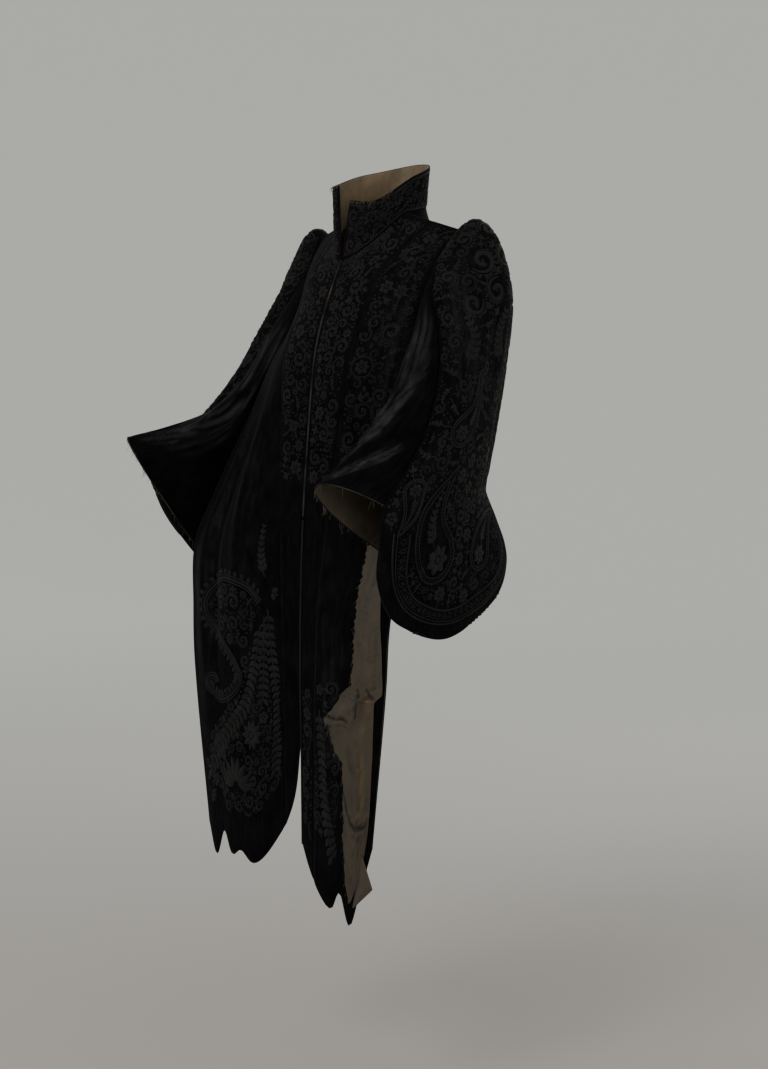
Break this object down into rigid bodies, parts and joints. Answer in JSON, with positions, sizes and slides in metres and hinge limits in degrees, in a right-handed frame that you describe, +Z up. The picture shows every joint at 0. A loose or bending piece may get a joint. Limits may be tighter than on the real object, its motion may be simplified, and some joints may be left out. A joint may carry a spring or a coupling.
{
  "type": "dolman",
  "caption": "High-collared velvet mantle, worn open at the neck, with wide sling sleeves that end in round hanging lobes and two long fingered front tabs.",
  "frame": {"origin": "inside the neck, on the body's middle plane, level with the neck ends of the shoulder seams: the place where the wearer's neck and shoulders hold the garment", "axes": "+X to the wearer's left, -Y to the front, +Z up"},
  "size_m": [0.6297, 0.4851, 1.184],
  "materials": {
    "velvet": "black silk velvet with matte corded applique",
    "lining": "worn olive-brown silk lining"
  },
  "bodies": {
    "root": {"collar": "velvet", "front_left": "velvet", "front_right": "velvet", "side_front_left": "velvet", "side_front_right": "velvet", "back_left": "velvet", "back_right": "velvet", "sleeve_outer_left": "velvet", "sleeve_outer_right": "velvet", "sleeve_inner_left": "velvet", "sleeve_inner_right": "velvet", "loose_lining_left": "lining"}
  },
  "joints": []
}
